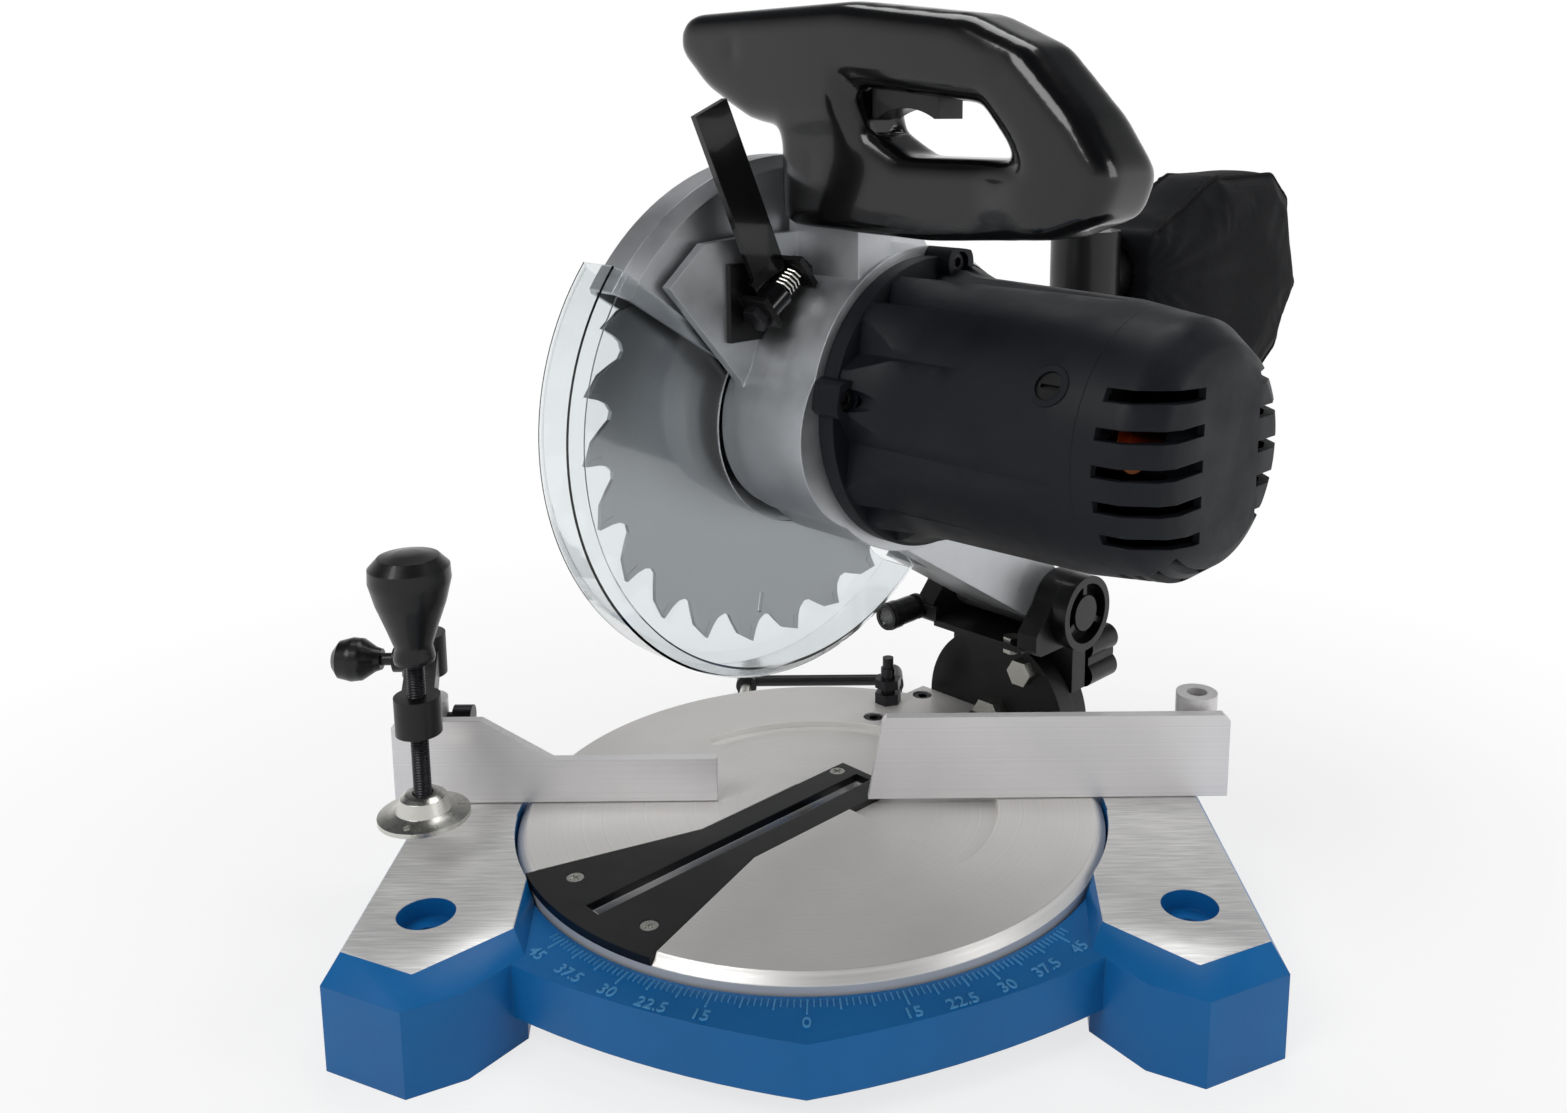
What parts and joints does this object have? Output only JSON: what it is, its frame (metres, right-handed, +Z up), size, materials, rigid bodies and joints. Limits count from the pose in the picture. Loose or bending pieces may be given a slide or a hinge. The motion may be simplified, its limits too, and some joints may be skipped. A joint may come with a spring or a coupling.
{
  "type": "compound mitre saw",
  "caption": "Bench mitre saw: turntable and fence on a cast base, tilting chop head with motor, loop handle, clear guard, work clamp and dust bag.",
  "frame": {"origin": "centre of the four bench bolts, on the bench", "axes": "+Z up, front of the saw towards -Y, +X to the operator's right"},
  "size_m": [0.5177, 0.409, 0.4119],
  "materials": {
    "blue_paint": "semi-gloss enamel",
    "cast_aluminium": "machined or die cast",
    "steel": "bright",
    "dark_steel": "black oxide",
    "black_metal": "satin black",
    "black_plastic": "fine grain",
    "motor_plastic": "fine grain",
    "copper": "wound rotor",
    "carbon": "carbon",
    "clear_plastic": "clear moulding",
    "cloth": "woven"
  },
  "bodies": {
    "base": {"base_casting": "blue_paint", "fence_left": "cast_aluminium", "fence_right": "cast_aluminium", "fence_screws": "dark_steel", "pivot_bolt": "steel", "pivot_nut": "steel", "stay_rods": "steel", "stay_bar": "black_plastic"},
    "post_lock": {"post_lock_screw": "black_metal"},
    "post": {"clamp_post": "steel"},
    "arm": {"clamp_arm": "black_metal"},
    "arm_lock": {"arm_lock_knob": "black_plastic"},
    "pad": {"clamp_pad": "steel"},
    "screw": {"clamp_screw": "dark_steel", "clamp_knob": "black_plastic"},
    "table": {"turntable": "cast_aluminium", "kerf_insert": "black_plastic", "insert_screws": "dark_steel", "mount_screws": "dark_steel", "stop_bolts": "dark_steel", "tilt_mount": "black_metal", "bevel_bolt": "steel", "lock_stud": "steel"},
    "bevel_lock": {"bevel_knob": "black_plastic"},
    "tilt": {"tilt_bracket": "black_metal", "hinge_pin": "steel", "hinge_cap": "black_plastic", "return_spring": "dark_steel", "laser_body": "black_plastic", "laser_lens": "clear_plastic", "laser_plate": "black_metal", "depth_stop_bolt": "dark_steel"},
    "head": {"gear_case": "cast_aluminium", "blade_hood": "cast_aluminium", "hood_screws": "dark_steel", "motor_housing": "motor_plastic", "motor_cap": "motor_plastic", "motor_screws": "dark_steel", "brush_caps": "black_plastic", "carbon_brushes": "carbon", "stator": "dark_steel", "motor_bearings": "steel", "spindle_bearings": "steel", "handle_front": "black_plastic", "handle_rear": "black_plastic", "handle_screws": "dark_steel", "lever_bracket": "black_metal", "lever_bolt": "steel", "lever_spring": "steel", "dust_port": "black_plastic"},
    "blade": {"saw_blade": "steel", "blade_flanges": "steel", "spindle": "steel", "spindle_gear": "dark_steel", "arbor_bolt": "dark_steel"},
    "rotor": {"armature": "copper"},
    "guard": {"lower_guard": "clear_plastic"},
    "lever": {"release_lever": "black_plastic"},
    "switch": {"trigger": "black_plastic"},
    "bag": {"dust_bag": "cloth"}
  },
  "joints": [
    {"name": "post_lock_turn", "type": "hinge", "parent": "base", "child": "post_lock", "pos_m": [-0.187, 0.044, 0.081], "axis": [1, 0, 0], "range_deg": [0, 360]},
    {"name": "post_swivel", "type": "hinge", "parent": "base", "child": "post", "pos_m": [-0.187, 0.044, 0.1], "axis": [0, 0, -1], "range_deg": [-30, 35]},
    {"name": "arm_height", "type": "slide", "parent": "post", "child": "arm", "axis": [0, 0, 1], "range_m": [-0.005, 0.03]},
    {"name": "arm_lock_turn", "type": "hinge", "parent": "arm", "child": "arm_lock", "pos_m": [-0.187, 0.044, 0.111], "axis": [-1, 0, 0], "range_deg": [0, 360]},
    {"name": "pad_travel", "type": "slide", "parent": "arm", "child": "pad", "axis": [0, 0, 1], "range_m": [-0.011, 0.02]},
    {"name": "clamp_screw_turn", "type": "hinge", "parent": "pad", "child": "screw", "pos_m": [-0.172, -0.017, 0.1], "axis": [0, 0, 1], "range_deg": [-3200, 5800]},
    {"name": "mitre", "type": "hinge", "parent": "base", "child": "table", "pos_m": [0, 0.026, 0.045], "axis": [0, 0, 1], "range_deg": [0, 90]},
    {"name": "bevel_lock_turn", "type": "hinge", "parent": "table", "child": "bevel_lock", "pos_m": [0.14142, 0.13914, 0.075], "axis": [0.7071, 0.7071, 0], "range_deg": [0, 180]},
    {"name": "bevel", "type": "hinge", "parent": "table", "child": "tilt", "pos_m": [0.10607, 0.13207, 0.045], "axis": [-0.7071, -0.7071, 0], "range_deg": [0, 45]},
    {"name": "chop", "type": "hinge", "parent": "tilt", "child": "head", "pos_m": [0.10607, 0.13207, 0.112], "axis": [0.7071, -0.7071, 0], "range_deg": [0, 32], "stiffness_Nm_per_rad": 14, "springref_deg": -51.57},
    {"name": "blade_spin", "type": "hinge", "parent": "head", "child": "blade", "pos_m": [-0.01308, 0.01292, 0.2403], "axis": [0.7071, -0.7071, 0], "continuous": true},
    {"name": "rotor_spin", "type": "hinge", "parent": "head", "child": "rotor", "pos_m": [0.00741, 0.03341, 0.24806], "axis": [0.7071, -0.7071, 0], "continuous": true},
    {"name": "guard_swing", "type": "hinge", "parent": "head", "child": "guard", "pos_m": [-0.01308, 0.01292, 0.2403], "axis": [0.7071, -0.7071, 0], "range_deg": [-140, 0]},
    {"name": "lever_press", "type": "hinge", "parent": "head", "child": "lever", "pos_m": [-0.01124, -0.02767, 0.2975], "axis": [0.5647, 0.5647, 0.6018], "range_deg": [0, 12], "stiffness_Nm_per_rad": 0.6, "springref_deg": -17.19},
    {"name": "trigger_press", "type": "slide", "parent": "head", "child": "switch", "axis": [0, 0, 1], "range_m": [0, 0.005], "stiffness_N_per_m": 800, "springref_m": -0.004},
    {"name": "bag_pull", "type": "slide", "parent": "head", "child": "bag", "axis": [0.7071, 0.7071, 0], "range_m": [0, 0.05]}
  ],
  "couplings": [
    {"joint": "clamp_screw_turn", "follows": "pad_travel", "rad_per_m": 5026.5},
    {"joint": "rotor_spin", "follows": "blade_spin", "ratio": -4},
    {"joint": "guard_swing", "follows": "chop", "ratio": -4.375}
  ]
}
